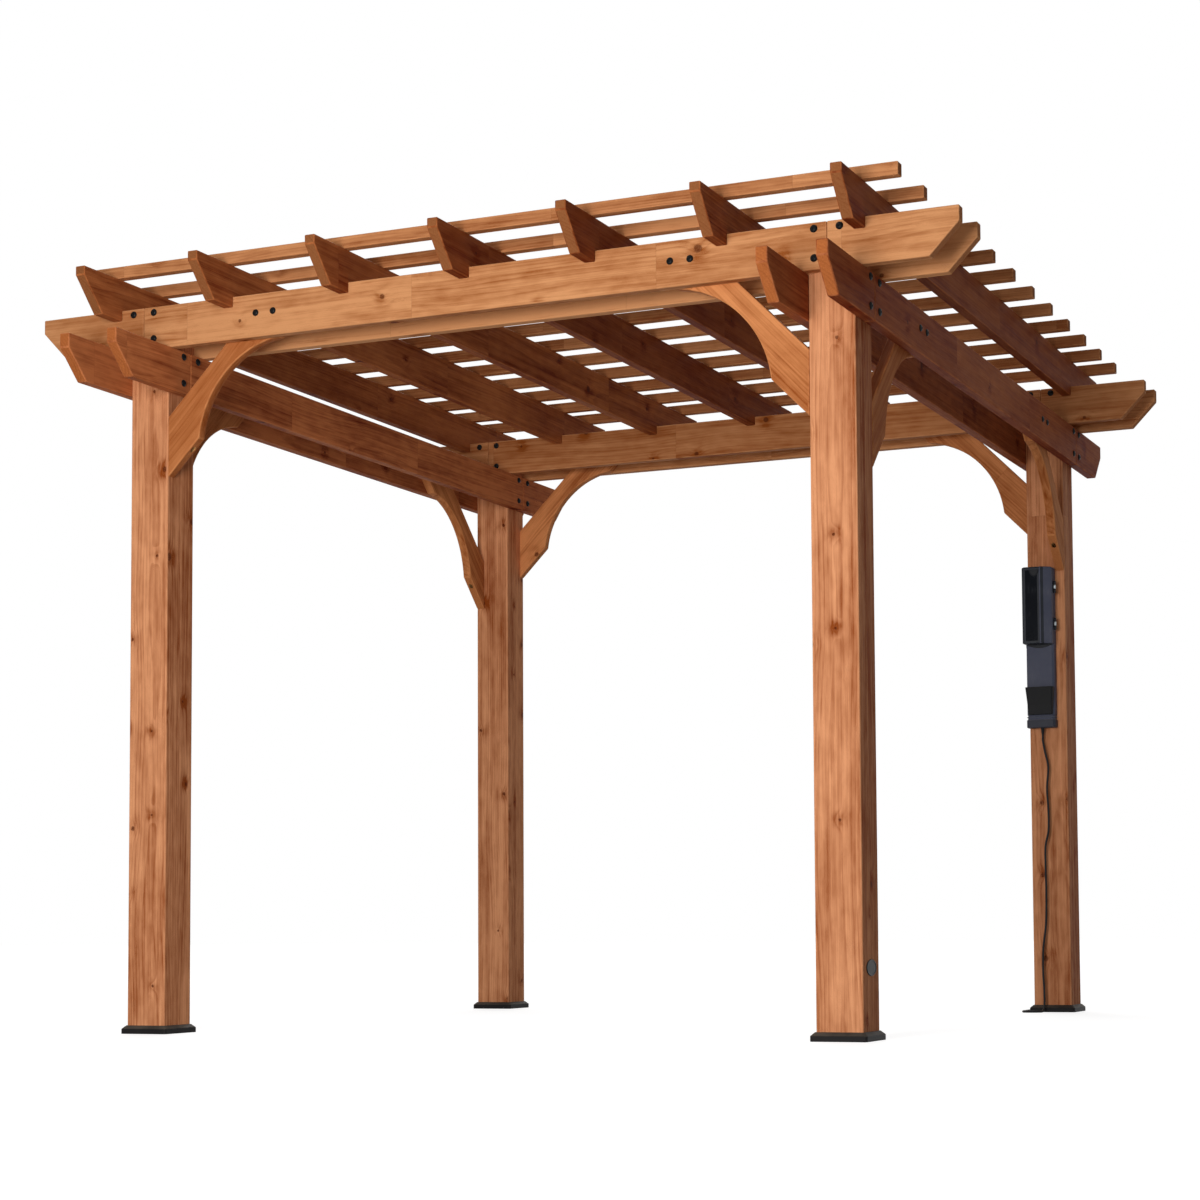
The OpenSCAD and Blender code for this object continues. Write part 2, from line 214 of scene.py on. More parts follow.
dust = calc(moulded, "MULTIPLY", calc(moulded, "MULTIPLY", fade(moulded, upward, 0.25, 0.95), given["Dust"]),
            fade(moulded, cloud, 0.3, 0.65, 0.4, 1.0))
colour = mix_colours(moulded, calc(moulded, "MULTIPLY", scuff, 0.6), given["Color"], given["Scuffed Color"])
colour = mix_colours(moulded, fade(moulded, cloud, 0.3, 0.7, 0.0, 0.25), colour, given["Scuffed Color"])
rough = calc(moulded, "MULTIPLY_ADD", scuff, 0.2, given["Roughness"])
feed(moulded, out, {
    "Color": mix_colours(moulded, dust, colour, rgb(168, 152, 134)),
    "Roughness": calc(moulded, "ADD", rough, calc(moulded, "MULTIPLY", dust, 0.4), clamp=True),
    "Height": calc(moulded, "MULTIPLY_ADD", scratch, -0.35, pebble)})


def moulded_material(name, colour, scuffed, grain_size=0.0009, roughness=0.5, dust=0.1, height=0.0001,
                     specular=0.12):
    """A moulded rubber or plastic finish."""
    made, tree, shader = new_material(name)
    finish_surface(tree, shader, moulded, {
        "Color": rgb(*colour), "Scuffed Color": rgb(*scuffed), "Grain Size": grain_size,
        "Roughness": roughness, "Dust": dust}, height, specular)
    return made


def add_rings(bm, rings, smooth=True, closed=True, material=0):
    """Skins rings of points, which have the same number each, and closes both ends."""
    loops = [[bm.verts.new(p) for p in ring] for ring in rings]
    count = len(loops[0])
    faces = [bm.faces.new((a[i], a[(i + 1) % count], b[(i + 1) % count], b[i]))
             for a, b in zip(loops, loops[1:]) for i in range(count)]
    for face in faces:
        face.smooth = smooth
    if closed:
        faces += [bm.faces.new(reversed(loops[0])), bm.faces.new(loops[-1])]
    for face in faces:
        face.material_index = material
    bmesh.ops.recalc_face_normals(bm, faces=faces)
    return faces


def frame_at(origin, along, across):
    """The matrix of a local frame whose x runs along, y across and z through."""
    along, across = Vector(along).normalized(), Vector(across).normalized()
    through = along.cross(across)
    rows = [(along[i], across[i], through[i], origin[i]) for i in range(3)]
    return Matrix(rows + [(0, 0, 0, 1)])


def circle(radius, sides):
    """Points round a circle."""
    return [(radius * math.cos(math.tau * i / sides), radius * math.sin(math.tau * i / sides))
            for i in range(sides)]


def add_turned(bm, profile, place, sides=20, smooth=True, material=0):
    """A turned solid: profile is (distance along the axis, radius), and place's x is the axis."""
    rings = [[place @ Vector((a, y, z)) for y, z in circle(radius, sides)] for a, radius in profile]
    return add_rings(bm, rings, smooth, material=material)


def rounded_box(wide, high, corner, steps=4):
    """The outline of a rounded rectangle about its middle."""
    points = []
    for sx, sy, start in ((1, 1, 0), (-1, 1, 90), (-1, -1, 180), (1, -1, 270)):
        for k in range(steps + 1):
            angle = math.radians(start + 90 * k / steps)
            points.append((sx * (wide / 2 - corner) + corner * math.cos(angle),
                           sy * (high / 2 - corner) + corner * math.sin(angle)))
    return points


def to_mesh(bm, name):
    """The finished mesh of a bmesh."""
    mesh = bpy.data.meshes.new(name)
    bm.to_mesh(mesh)
    bm.free()
    return mesh


cord_d = 0.008
cord_way = [
    (1.125, 1.052, 1.006), (1.125, 1.052, 0.994), (1.125, 1.052, 0.982), (1.133, 1.051, 0.940),
    (1.144, 1.050, 0.885), (1.138, 1.050, 0.810), (1.142, 1.050, 0.730), (1.141, 1.050, 0.655),
    (1.129, 1.050, 0.600), (1.128, 1.050, 0.520), (1.129, 1.050, 0.430), (1.126, 1.050, 0.320),
    (1.115, 1.049, 0.230), (1.113, 1.048, 0.150), (1.116, 1.047, 0.095), (1.117, 1.046, 0.060),
    (1.117, 1.046, 0.040), (1.117, 1.041, 0.022), (1.117, 1.028, 0.009), (1.117, 1.011, 0.0045),
    (1.107, 0.986, 0.0045), (1.082, 0.976, 0.0045), (1.057, 0.986, 0.0045), (1.047, 1.011, 0.0045),
    (1.046, 1.050, 0.0045), (1.046, 1.100, 0.0045), (1.046, 1.150, 0.0045), (1.046, 1.200, 0.0045),
    (1.046, 1.225, 0.0045), (1.046, 1.248, 0.0045)]
tail_way = [(1.046, 1.308, 0.0125), (1.046, 1.316, 0.0125), (1.046, 1.324, 0.012), (1.050, 1.346, 0.009),
            (1.063, 1.361, 0.0085), (1.082, 1.366, 0.0105), (1.096, 1.366, 0.011), (1.104, 1.366, 0.011)]
coil_middle = Vector((1.0915, 1.278, 0))
coil_outer, coil_inner, coil_low, coil_high = 0.0455, 0.0365, 0.0045, 0.0127
coil_steps = 36


def bend(points, steps=5):
    """A smooth line through the points, with a few steps between each two."""
    p = [Vector(q) for q in points]
    line = []
    for i in range(len(p) - 1):
        a, b, c, d = p[max(i - 1, 0)], p[i], p[i + 1], p[min(i + 2, len(p) - 1)]
        for t in (k / steps for k in range(steps)):
            line.append(b + (c - a) * (t / 2) + (a - 2.5 * b + 2 * c - d / 2) * t * t
                        + (-0.5 * a + 1.5 * b - 1.5 * c + 0.5 * d) * t ** 3)
    return line + [p[-1]]


def ease_step(share, start, length):
    """Goes smoothly from 0 to 1 over a length of a turn."""
    t = min(max((share - start) / length, 0), 1)
    return t * t * (3 - 2 * t)


def coil_line():
    """Four turns clockwise: outer and inner below, then inner and outer on top of them. A turn steps sideways
    in its last sixth, and the second one climbs just before that."""
    line = []
    for r0, r1, z0, z1 in ((coil_outer, coil_inner, coil_low, coil_low),
                           (coil_inner, coil_inner, coil_low, coil_high),
                           (coil_inner, coil_outer, coil_high, coil_high),
                           (coil_outer, coil_outer, coil_high, coil_high)):
        for share in (k / coil_steps for k in range(coil_steps)):
            radius = r0 + (r1 - r0) * ease_step(share, 0.83, 0.17)
            height = z0 + (z1 - z0) * ease_step(share, 0.62, 0.2)
            angle = math.pi - math.tau * share
            line.append(coil_middle + Vector((radius * math.cos(angle), radius * math.sin(angle), height)))
    return line + [coil_middle + Vector((-coil_outer, 0, coil_high))]


cord_line = bend(cord_way) + coil_line() + bend(tail_way)
rubber = moulded_material("cord rubber", (26, 26, 28), (52, 50, 50), 0.0008, 0.55, dust=0.12)
cord_curve = bpy.data.curves.new("power_lead", "CURVE")
cord_curve.dimensions = "3D"
cord_curve.bevel_depth = cord_d / 2
cord_curve.bevel_resolution = 3
cord_curve.use_fill_caps = True
spline = cord_curve.splines.new("POLY")
spline.points.add(len(cord_line) - 1)
for point, at in zip(spline.points, cord_line):
    point.co = (*at, 1)
spline.use_smooth = True
lead = new_piece("power_lead", cord_curve, [rubber])
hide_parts("cord", "cord_coil", "cord_tail")

# The strain relief is a soft tapered sleeve with ribs, moulded on the cord where it leaves the unit.
gland_low, gland_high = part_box("cord_gland")
gland_middle = Vector(((gland_low.x + gland_high.x) / 2, (gland_low.y + gland_high.y) / 2, gland_low.z))
gland_h = gland_high.z - gland_low.z
ribs, ribbed_share = 5, 0.82
step = gland_h * ribbed_share / ribs
sleeve = [(0, cord_d / 2 + 0.0001)]
for i in range(ribs):
    low = i / ribs * gland_h * ribbed_share
    swell = cord_d / 2 + 0.0008 + 0.0018 * i / ribs
    sleeve += [(low + share * step, swell + more) for share, more in (
        (0.1, 0), (0.62, 0.0003), (0.72, -0.0005), (0.98, -0.0004))]
sleeve += [(gland_h * 0.84, 0.0061), (gland_h * 0.87, 0.0065), (gland_h, 0.0065)]
bm = bmesh.new()
add_turned(bm, sleeve, frame_at(gland_middle, Z, X), sides=24)
relief = new_piece("strain_relief", bm, [rubber])
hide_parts("cord_gland")

# The tie is a thin strap of hook tape round the coil's four turns, with its loose end folded over.
tie_w = 0.012
tie_middle = coil_middle + Vector((0, -(coil_outer + coil_inner) / 2, 0))
outside = [(y, z + 0.00875) for y, z in rounded_box(0.0188, 0.0175, 0.004)]
inside = [(y, z + 0.0087) for y, z in rounded_box(0.0178, 0.0166, 0.0036)]
flap = [(-0.0085, 0.0177), (0.006, 0.0177), (0.0088, 0.0170), (0.0086, 0.0166), (0.0058, 0.0172),
        (-0.0085, 0.0172)]
bm = bmesh.new()
add_rings(bm, [[tie_middle + Vector((side * tie_w / 2, y, z)) for y, z in ring] for side, ring in (
    (-1, inside), (-1, outside), (1, outside), (1, inside), (-1, inside))], smooth=False, closed=False)
add_rings(bm, [[tie_middle + Vector((side * tie_w * 0.48, y, z)) for y, z in flap] for side in (-1, 1)],
          smooth=False)
bmesh.ops.remove_doubles(bm, verts=bm.verts, dist=1e-6)
hook_tape, tree, shader = new_material("hook tape")
weave = put(tree, "TexNoise", {"Vector": put(tree, "TexCoord").outputs["Object"], "Scale": 1400.0,
                               "Detail": 2.0}).outputs["Fac"]
feed(tree, shader, {
    "Base Color": mix_colours(tree, weave, rgb(30, 30, 33), rgb(66, 66, 70)), "Roughness": 0.9,
    "Normal": put(tree, "Bump", {"Height": weave, "Distance": 0.0004}).outputs[0]})
tie = new_piece("cord_tie", bm, [hook_tape])

# The plug is a moulded rubber body with a ribbed neck and two flat brass blades, plated.
plug_at = Vector(tail_way[-1])
blade_out = 0.0063
neck = [(0, 0.0043), (0.0005, 0.0049), (0.004, 0.0052), (0.0046, 0.0046), (0.0062, 0.0048),
        (0.0068, 0.0058), (0.011, 0.0062), (0.0116, 0.0054), (0.0132, 0.0056), (0.0138, 0.0070),
        (0.020, 0.0079), (0.021, 0.0079)]
plug_body = [(0.0195, 0.015, 0.014), (0.0205, 0.0175, 0.0165), (0.024, 0.0205, 0.0205),
             (0.029, 0.0214, 0.0214), (0.031, 0.02, 0.02), (0.034, 0.02, 0.02), (0.036, 0.0216, 0.0216),
             (0.0445, 0.0218, 0.0218), (0.0455, 0.0212, 0.0212), (0.046, 0.02, 0.02)]
blade = [(0.045, 0.0016, 0.0064), (0.060, 0.0016, 0.0064), (0.0612, 0.0014, 0.0056),
         (0.0618, 0.0010, 0.0046)]
bm = bmesh.new()
add_turned(bm, neck, frame_at(plug_at, X, Y), sides=24)
for stations, sideways, material in ((plug_body, 0, 0), (blade, -blade_out, 1), (blade, blade_out, 1)):
    add_rings(bm, [[plug_at + Vector((a, sideways + y, z)) for y, z in rounded_box(w, h, min(w, h) * 0.3)]
                   for a, w, h in stations], material=material)

# Plated and black steel: fine drawn lines, and a worn colour in patches.
metal, given, out = new_group("fastener metal", {"Color": "Color", "Worn Color": "Color", "Wear": "Float",
                                                 "Roughness": "Float"})
place = put(metal, "TexCoord").outputs["Object"]
patch = put(metal, "TexNoise", {"Vector": place, "Scale": 160.0, "Detail": 4.0}).outputs["Fac"]
lines = put(metal, "TexNoise", {"Vector": place, "Scale": 900.0, "Detail": 2.0}).outputs["Fac"]
worn = calc(metal, "MULTIPLY", fade(metal, patch, 0.56, 0.7), given["Wear"])
feed(metal, out, {"Color": mix_colours(metal, worn, given["Color"], given["Worn Color"]), "Height": lines,
                  "Roughness": calc(metal, "MULTIPLY_ADD", patch, 0.25, given["Roughness"])})


def metal_material(name, colour, worn_colour, wear, roughness, metallic=1.0, specular=0.5):
    """A plated or painted steel finish."""
    made, tree, shader = new_material(name)
    shader.inputs["Metallic"].default_value = metallic
    finish_surface(tree, shader, metal, {"Color": rgb(*colour), "Worn Color": rgb(*worn_colour), "Wear": wear,
                                         "Roughness": roughness}, 0.00002, specular)
    return made


plated = metal_material("plated metal", (196, 192, 184), (150, 140, 122), 0.5, 0.2)
plug_rubber = moulded_material("plug rubber", (24, 24, 26), (48, 47, 47), 0.0012, dust=0.12)
plug_piece = new_piece("mains_plug", bm, [plug_rubber, plated])
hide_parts("plug")

# ---------------- Posts
# Four square posts of stained cedar-like softwood, each glued up from two planed boards, so that a fine seam
# runs down the left and right faces. The long edges are rounded over and the top is square cut.

# Stained softwood as a solid: year rings about a pith beside the board, wandering along its length, so that
# faces show cathedrals or straight grain and cut ends show arcs. Knots push the rings aside, finger joints
# start a new length with other grain, and the stain lies darker in late wood, in knots and where a board
# drank more of it. Each board's tone also darkens or lightens it: random stain differences, and on some
# boards painted shade and painted light.
wood, given, out = new_group("stained softwood", {
    "Grain": "Vector", "Board": "Vector", "Cut": "Float", "Eased": "Float", "Narrow": "Float",
    "Pale": "Color", "Dark": "Color", "Cut Color": "Color", "Ring Width": "Float", "Joint Spacing": "Float",
    "Knots": "Float"})
plus, minus, times, over, times_plus = (partial(calc, wood, kind) for kind in (
    "ADD", "SUBTRACT", "MULTIPLY", "DIVIDE", "MULTIPLY_ADD"))


def vector_math(operation, *vectors):
    """The vector that a Vector Math node gives."""
    return put(wood, "VectorMath", dict(enumerate(vectors)), operation=operation).outputs[0]


def split(vector):
    """The three numbers of a vector."""
    return put(wood, "SeparateXYZ", {0: vector}).outputs


def chances(number):
    """Three random numbers from 0 to 1 that belong to a number."""
    return split(put(wood, "TexWhiteNoise", {"W": number}, noise_dimensions="1D").outputs["Color"])


along, across, through = split(given["Grain"])
board_number, tone_and_painted_shading, _ = split(given["Board"])
run = times_plus(board_number, 7.13, over(along, given["Joint Spacing"]))
from_middle = calc(wood, "ABSOLUTE", minus(calc(wood, "FRACT", run), 0.5))
to_joint = times(given["Joint Spacing"], minus(0.5, from_middle))
joint_line = fade(wood, to_joint, 0.0004, 0.0018, 1.0, 0.0)
tree_number = times_plus(calc(wood, "FLOOR", run), 3.77, times(board_number, 31.7))
chance_a, chance_b, chance_c = chances(tree_number)
chance_vector = put(wood, "CombineXYZ", {0: chance_a, 1: chance_b, 2: chance_c}).outputs[0]
spot = vector_math("MULTIPLY_ADD", chance_vector, (40, 40, 40), given["Grain"])


def noise(stretch, detail=2.0, output="Fac"):
    """Noise in the board, from 0 to 1, with a number of cells a metre for each axis."""
    return put(wood, "TexNoise", {"Vector": vector_math("MULTIPLY", spot, stretch), "Scale": 1.0,
                                  "Detail": detail}).outputs[output]


def uneven(stretch, detail=2.0):
    """Noise about nought."""
    return minus(noise(stretch, detail), 0.5)


wander = split(noise((1.3, 0.8, 0.8), 1.0, "Color"))
pith_across = times_plus(plus(chance_a, times(wander[0], 0.6)), 0.13, -0.10)
pith_through = times_plus(chance_b, 0.06, times_plus(wander[1], 0.07, 0.005))
ripple = times(uneven((3.5, 26, 26)), 0.009)

# One knot may stand in each cell of a face.
cell_l, cell_w = 0.27, 0.10
over_face = times_plus(minus(through, across), given["Narrow"], across)
knot_at = put(wood, "CombineXYZ", {
    0: times_plus(chance_b, 9.0, over(along, cell_l)),
    1: times_plus(plus(chance_c, given["Narrow"]), 9.0, over(over_face, cell_w))}).outputs[0]
cells = put(wood, "TexVoronoi", {"Vector": knot_at, "Scale": 1.0, "Randomness": 0.62},
            voronoi_dimensions="2D").outputs
away = split(vector_math("SUBTRACT", knot_at, cells["Position"]))
knot_along, knot_across = times(away[0], cell_l / 1.3), times(away[1], cell_w / 1.2)
from_knot = calc(wood, "SQRT", times_plus(knot_along, knot_along, times(knot_across, knot_across)))
from_knot = times_plus(uneven((110, 110, 110)), 0.005, from_knot)
knot_pick = split(cells["Color"])
knot_there = calc(wood, "LESS_THAN", knot_pick[0], given["Knots"])
knot_size = times_plus(times(knot_pick[1], knot_pick[1]), 0.007, 0.0034)
heart = times(knot_there, fade(wood, from_knot, times(knot_size, 0.7), times(knot_size, 1.2), 1.0, 0.0))
spread = over(from_knot, times_plus(knot_size, 2.0, 0.009))
swirl = times(knot_there, calc(wood, "EXPONENT", times(times(spread, spread), -1.0)))

ring_y, ring_z = minus(across, pith_across), plus(through, pith_through)
radius = calc(wood, "SQRT", times_plus(ring_y, ring_y, times(ring_z, ring_z)))
year = over(plus(times_plus(swirl, 0.013, radius), ripple), given["Ring Width"])
season = put(wood, "ValToRGB", {0: calc(wood, "FRACT", year)})
stops = season.color_ramp.elements
stops[0].color, stops[1].color = (0.08, 0.08, 0.08, 1), (0.12, 0.12, 0.12, 1)
for position, value in ((0.5, 0.3), (0.82, 1.0), (0.93, 0.85)):
    stops.new(position).color = (value, value, value, 1)
year_chance = chances(plus(calc(wood, "FLOOR", year), tree_number))[0]
late = times(season.outputs[0], times_plus(year_chance, 0.75, 0.25))

fibre, streak = uneven((7, 330, 330), 3.0), uneven((1.2, 42, 42))
blotch, vein, mottle = uneven((2.2, 7, 7), 3.0), uneven((0.9, 105, 105), 1.0), uneven((16, 42, 42))
depth = times(fibre, 0.42)
for part, amount in ((late, 0.22), (streak, 0.8), (vein, 0.36), (blotch, 0.9), (mottle, 0.45)):
    depth = times_plus(part, amount, depth)
# The board's tone shifts the stain: random differences, and on some boards painted shade and painted light.
depth = times_plus(depth, fade(wood, tone_and_painted_shading, 0.0, 0.35, 1.6, 0.95), tone_and_painted_shading)
for part, amount in ((swirl, times_plus(mottle, 2.4, 0.5)), (minus(chance_c, 0.5), 0.12),
                     (given["Narrow"], 0.12)):
    depth = times_plus(part, amount, depth)
colour = mix_colours(wood, plus(depth, 0.26, clamp=True), given["Pale"], given["Dark"])
knot_colour = mix_colours(wood, 1.0, given["Dark"], rgb(160, 138, 130), "MULTIPLY")
rubbed = times(given["Eased"], fade(wood, noise((14, 60, 60)), 0.35, 0.7, 0.1, 0.75))
end_depth = times_plus(late, 0.28, times_plus(fibre, 0.9, 0.12), clamp=True)
end_colour = mix_colours(wood, end_depth, given["Cut Color"], given["Dark"])
for share, over_it in ((times(heart, 0.85), knot_colour), (times(joint_line, 0.14), knot_colour),
                       (rubbed, given["Pale"]), (given["Cut"], end_colour)):
    colour = mix_colours(wood, share, colour, over_it)
rough = times_plus(late, -0.08, times_plus(fibre, 0.3, 0.66))
raised = times_plus(heart, 0.6, times_plus(late, 0.3, times(fibre, 0.8)))
feed(wood, out, {"Color": colour, "Roughness": times_plus(given["Cut"], 0.2, rough, clamp=True),
                 "Height": times_plus(joint_line, -0.5, raised)})


def wood_material(name, pale, dark, cut, ring_width=0.009, joint_spacing=0.9, knots=0.25):
    """A stained board finish, which reads each board's own grain and number."""
    made, tree, shader = new_material(name)
    values = {layer.title(): put(tree, "Attribute", attribute_name=layer).outputs[output] for layer, output in
              (("grain", "Vector"), ("board", "Vector"), ("cut", "Fac"), ("eased", "Fac"), ("narrow", "Fac"))}
    values.update({"Pale": rgb(*pale), "Dark": rgb(*dark), "Cut Color": rgb(*cut), "Ring Width": ring_width,
                   "Joint Spacing": joint_spacing, "Knots": knots})
    finish_surface(tree, shader, wood, values, 0.00035, 0.05)
    return made


chance = random.Random(4)


def oblong(x0, x1, y0, y1):
    """The outline of a square-cut board."""
    return [(x0, y0), (x1, y0), (x1, y1), (x0, y1)]


def new_boards():
    """A bmesh with the layers that the boards' finish reads."""
    bm = bmesh.new()
    for layer in ("grain", "board"):
        bm.verts.layers.float_vector.new(layer)
    for layer in ("cut", "eased", "narrow"):
        bm.faces.layers.float.new(layer)
    return bm


def add_board(bm, outline, thick, place, ease=0.003, glued=0, turn=0.0, tone=0.0, curved=(), ends_show=True):
    """Adds one board. Its outline lies in place's x and y, its thickness in z, and its grain runs along x, or
    turned from it by some degrees. glued is -1 or 1 for a face whose edges stay sharp, curved lists outline
    sides to shade smooth, tone makes the board darker, or lighter below nought, which carries random stain
    differences and on some boards painted shade and painted light, and ends_show is for sawn ends that show."""
    grain, board = (bm.verts.layers.float_vector[layer] for layer in ("grain", "board"))
    cut, eased, narrow = (bm.faces.layers.float[layer] for layer in ("cut", "eased", "narrow"))
    number = chance.uniform(0, 90)
    tone += chance.uniform(-0.1, 0.1)
    old = set(bm.verts)
    low, high = ([bm.verts.new((u, v, w)) for u, v in outline] for w in (-thick / 2, thick / 2))
    count = len(outline)
    sides = [bm.faces.new((low[i], low[(i + 1) % count], high[(i + 1) % count], high[i]))
             for i in range(count)]
    for i in curved:
        sides[i].smooth = True
    faces = sides + [bm.faces.new(reversed(low)), bm.faces.new(high)]
    bmesh.ops.recalc_face_normals(bm, faces=faces)
    edges = {edge for face in faces for edge in face.edges}
    sharp = [edge for edge in edges if edge.calc_face_angle(0) > math.radians(20)
             and not (glued and all(abs(v.co.z - glued * thick / 2) < 1e-6 for v in edge.verts))]
    rounded = set(bmesh.ops.bevel(bm, geom=sharp, offset=ease, segments=3, profile=0.5, affect="EDGES",
                                  clamp_overlap=True)["faces"])
    new = [v for v in bm.verts if v not in old]
    run_way = Vector((math.cos(math.radians(turn)), math.sin(math.radians(turn)), 0))
    for face in {f for v in new for f in v.link_faces}:
        face[eased] = float(face in rounded)
        face[cut] = float(ends_show and face not in rounded and abs(face.normal.dot(run_way)) > 0.5)
        face[narrow] = float(abs(face.normal.z) < 0.5)
    flat = Matrix.Rotation(-math.radians(turn), 3, "Z")
    for v in new:
        v[grain] = flat @ v.co
        v[board] = (number, tone, 0)
        v.co = place @ v.co


def finish_boards(bm, node, material):
    """Makes the piece of a set of boards, which stands for a CAD node."""
    piece = new_piece("wooden_" + node, bm, [material])
    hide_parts(node)
    return piece


post_wood = wood_material("post wood", (217, 150, 106), (134, 62, 18), (176, 116, 76), ring_width=0.010,
                          joint_spacing=9.0, knots=0.5)
seam = 0.0005
# Each post's tones, for its front and back boards, carry random stain differences and painted shade and
# light: the back board of the back right post is painted darker and that of the back left post lighter.
post_tones_and_shade = {"post_front_left": (0.08, -0.02), "post_front_right": (0.1, 0.15),
              "post_back_left": (0.08, -0.2), "post_back_right": (0.06, 0.2)}
for name, tones in post_tones_and_shade.items():
    low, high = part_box(name)
    width, height = high.x - low.x, high.z - low.z
    outline = oblong(0, height, -width / 2, width / 2)
    bm = new_boards()
    for side, tone in zip((-1, 1), tones):
        middle = Vector(((low.x + high.x) / 2, (low.y + high.y) / 2 + side * (width + seam) / 4, 0))
        add_board(bm, outline, (width - seam) / 2, frame_at(middle, Z, X), ease=0.005, glued=-side, tone=tone)
    finish_boards(bm, name, post_wood)

# ---------------- Foot covers
# Each post stands in a square skirt moulded in black plastic, with a sloping shoulder all round. It is pushed
# on from below with a little play, and rests on the ground.
foot_plastic = moulded_material("foot plastic", (24, 22, 22), (40, 38, 37), 0.002, dust=0.2, height=0.00015,
                                specular=0.08)
foot_play, chamfer = 0.0006, 0.010
for post in post_tones_and_shade:
    name = post.replace("post", "foot")
    low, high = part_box(name)
    post_low, post_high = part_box(post)
    middle = (low + high) / 2
    outer, hole, top = high.x - low.x, post_high.x - post_low.x + foot_play, high.z - low.z
    bm = bmesh.new()
    add_rings(bm, [[Vector((middle.x + x, middle.y + y, z)) for x, y in rounded_box(wide, wide, corner)]
                   for wide, z, corner in (
                       (hole, 0.0, 0.0052), (hole, top - 0.001, 0.0052), (hole + 0.002, top, 0.006),
                       (outer - 2 * chamfer - 0.003, top, 0.006), (outer - 2 * chamfer, top - 0.0008, 0.007),
                       (outer - 0.002, top - chamfer + 0.0006, 0.008), (outer, top - chamfer - 0.0012, 0.008),
                       (outer, 0.0012, 0.008), (outer - 0.002, 0.0, 0.007), (hole, 0.0, 0.0052))],
              smooth=False, closed=False)
    bmesh.ops.remove_doubles(bm, verts=bm.verts, dist=1e-6)
    bmesh.ops.recalc_face_normals(bm, faces=bm.faces)
    piece = new_piece("moulded_" + name, bm, [foot_plastic])
    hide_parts(name)

# ---------------- Side beams
# Two boards clasp each pair of posts at the left and right, bolted through. Each line is one long board
# between the posts' middles and a short one past each post, with a sloping cut under its free end.
beam_nose, beam_cut, joint_gap = 0.044, 0.087, 0.001
side_wood = wood_material("side beam wood", (190, 114, 68), (104, 34, 8), (176, 102, 54), joint_spacing=0.85,
                          knots=0.2)


def beam_boards(bm, name, run, post_at, tones):
    """The three boards of one beam line that runs along x or y."""
    low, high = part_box(name)
    end, thick = (high.x, high.y - low.y) if run == X else (high.y, high.x - low.x)
    height = high.z - low.z
    middle = (low + high) / 2
    place = frame_at((0, middle.y, low.z) if run == X else (middle.x, 0, low.z), run, Z)
    inner, outer = post_at - joint_gap / 2, post_at + joint_gap / 2
    add_board(bm, oblong(-inner, inner, 0, height), thick, place, ease=0.0035, tone=tones[1])
    for side, tone in ((-1, tones[0]), (1, tones[2])):
        stub = ((outer, 0), (end - beam_cut, 0), (end, height - beam_nose), (end, height), (outer, height))
        add_board(bm, [(side * x, z) for x, z in stub], thick, place, ease=0.0035, tone=tone)


post_low, post_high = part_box("post_back_right")
post_x, post_y = (post_low.x + post_high.x) / 2, (post_low.y + post_high.y) / 2
# The left-hand lines are painted lighter and the right-hand lines darker: painted light and painted shade.
for place, tone in (("left_outer", -0.15), ("left_inner", -0.1), ("right_inner", 0.3), ("right_outer", 0.4)):
    bm = new_boards()
    beam_boards(bm, "side_beam_" + place, Y, post_y, (tone, tone, tone))
    finish_boards(bm, "side_beam_" + place, side_wood)

# ---------------- Top beams
# The same boards again at the front and back. They lie on the side beams and take the rafters.
top_wood = wood_material("top beam wood", (206, 145, 97), (141, 73, 26), (190, 128, 86), joint_spacing=0.8,
                         knots=0.32)
# The tones paint light and shade: the inner front line is lighter, most at its right end, as painted light,
# and the inner back line and the outer front line's left end are darker, as painted shade.
for place, tones in (("front_outer", (0.2, -0.04, -0.05)), ("front_inner", (-0.1, -0.35, -0.45)),
                     ("back_inner", (0.25, 0.25, 0.2)), ("back_outer", (0.0, 0.0, 0.0))):
    bm = new_boards()
    beam_boards(bm, "top_beam_" + place, X, post_x, tones)
    finish_boards(bm, "top_beam_" + place, top_wood)

# ---------------- Braces
# Eight corner braces, each sawn from a wide board laid at 45 degrees with a long curve out of its inner edge.
# The upper end is bolted between the beam boards, and a screw in a pocket hole holds the foot to the post.
brace_w, brace_drop, brace_knee, brace_scoop, brace_top_gap = 0.134, 0.212, 0.115, 0.072, 0.016
side_low, side_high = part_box("side_beam_left_outer")
top_low, top_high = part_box("top_beam_front_outer")
brace_up = side_high.z - side_low.z - brace_top_gap
brace_tip = brace_drop + brace_w * math.sqrt(2)
curve_steps = 24


def brace_outline():
    """Distance from the post's face and height over the beam's underside."""
    a = Vector((brace_knee, brace_knee - brace_tip))
    b = Vector((brace_up + brace_tip - brace_knee, brace_up - brace_knee))
    half_chord, run = (b - a).length / 2, (b - a).normalized()
    outward = Vector((run.y, -run.x))
    bow = (half_chord ** 2 + brace_scoop ** 2) / (2 * brace_scoop)
    centre = (a + b) / 2 + outward * (bow - brace_scoop)
    swing = math.asin(half_chord / bow)
    points = [(0, -brace_drop), (0, -brace_tip)]
    for i in range(curve_steps + 1):
        angle = -swing + 2 * swing * i / curve_steps
        points.append(tuple(centre - outward * (bow * math.cos(angle)) + run * (bow * math.sin(angle))))
    return points + [(brace_up + brace_tip, brace_up), (brace_up + brace_drop, brace_up)]


def with_modifiers(piece):
    """The mesh of a piece as its modifiers leave it."""
    bpy.context.view_layer.update()
    return bpy.data.meshes.new_from_object(piece.evaluated_get(bpy.context.evaluated_depsgraph_get()))


def cut_away(piece, shape):
    """Cuts the shape of a bmesh out of the piece."""
    cutter = show(bpy.data.objects.new("cutter", to_mesh(shape, "cutter")))
    cut = piece.modifiers.new("cut", "BOOLEAN")
    cut.operation, cut.solver, cut.object = "DIFFERENCE", "EXACT", cutter
    shaped = with_modifiers(piece)
    piece.modifiers.clear()
    piece.data = shaped
    bpy.data.objects.remove(cutter)


